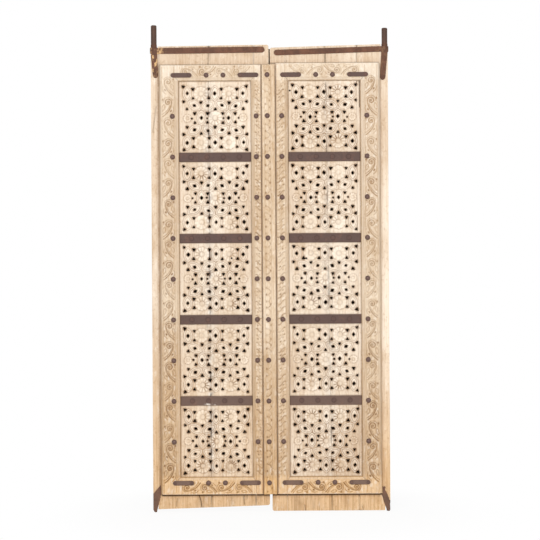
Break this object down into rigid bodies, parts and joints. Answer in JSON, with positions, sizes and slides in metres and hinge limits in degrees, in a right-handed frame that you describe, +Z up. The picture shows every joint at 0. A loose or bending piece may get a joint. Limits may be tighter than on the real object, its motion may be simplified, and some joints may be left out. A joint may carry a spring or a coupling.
{
  "type": "panel door",
  "caption": "Pair of tall pivot-hung wooden door leaves with pierced carved panels, carved frames, iron bands, domed studs and iron pivots.",
  "frame": {"origin": "midway between the two pivot axes, at the level of the pivot spikes' points", "axes": "+Z up along the pivots, +Y from the carved front to the ledged back, +X to the right seen from the front"},
  "size_m": [1.04, 0.0999, 2.122],
  "materials": {
    "plank_wood": "bleached, weathered",
    "frame_wood": "bleached, carved, worn",
    "ledge_wood": "plain, weathered",
    "backing_wood": "dark, plain",
    "band_iron": "dark patina",
    "stud_iron": "dark patina",
    "pivot_iron": "rusty brown"
  },
  "bodies": {
    "pivots": {"left_upper_pin": "pivot_iron", "right_upper_pin": "pivot_iron"},
    "left_leaf": {"left_plank_1": "plank_wood", "left_plank_2": "plank_wood", "left_plank_3": "plank_wood", "left_hanging_stile": "frame_wood", "left_meeting_stile": "frame_wood", "left_top_rail": "frame_wood", "left_bottom_rail": "frame_wood", "left_band_1": "band_iron", "left_band_2": "band_iron", "left_band_3": "band_iron", "left_band_4": "band_iron", "left_ledge_1": "ledge_wood", "left_ledge_2": "ledge_wood", "left_ledge_3": "ledge_wood", "left_ledge_4": "ledge_wood", "left_ledge_5": "ledge_wood", "left_ledge_6": "ledge_wood", "left_studs": "stud_iron", "left_band_nails": "band_iron", "left_corner_bars": "band_iron", "left_corner_nails": "stud_iron", "left_pivot_strap": "pivot_iron", "left_bottom_shoe": "pivot_iron", "left_iron_nails": "pivot_iron", "left_backing_board": "backing_wood", "cover_strip": "frame_wood", "cover_strip_studs": "stud_iron"},
    "right_leaf": {"right_plank_1": "plank_wood", "right_plank_2": "plank_wood", "right_plank_3": "plank_wood", "right_plank_4": "plank_wood", "right_hanging_stile": "frame_wood", "right_meeting_stile": "frame_wood", "right_top_rail": "frame_wood", "right_bottom_rail": "frame_wood", "right_band_1": "band_iron", "right_band_2": "band_iron", "right_band_3": "band_iron", "right_band_4": "band_iron", "right_ledge_1": "ledge_wood", "right_ledge_2": "ledge_wood", "right_ledge_3": "ledge_wood", "right_ledge_4": "ledge_wood", "right_ledge_5": "ledge_wood", "right_ledge_6": "ledge_wood", "right_studs": "stud_iron", "right_band_nails": "band_iron", "right_corner_bars": "band_iron", "right_corner_nails": "stud_iron", "right_pivot_strap": "pivot_iron", "right_bottom_shoe": "pivot_iron", "right_iron_nails": "pivot_iron", "right_backing_board": "backing_wood"}
  },
  "joints": [
    {"name": "right_leaf_swing", "type": "hinge", "parent": "pivots", "child": "right_leaf", "pos_m": [0.503, 0, 0], "axis": [0, 0, -1], "range_deg": [0, 110]},
    {"name": "left_leaf_swing", "type": "hinge", "parent": "pivots", "child": "left_leaf", "pos_m": [-0.503, 0, 0], "axis": [0, 0, 1], "range_deg": [0, 88]}
  ],
  "couplings": [
    {"joint": "left_leaf_swing", "follows": "right_leaf_swing", "ratio": 0.8}
  ]
}
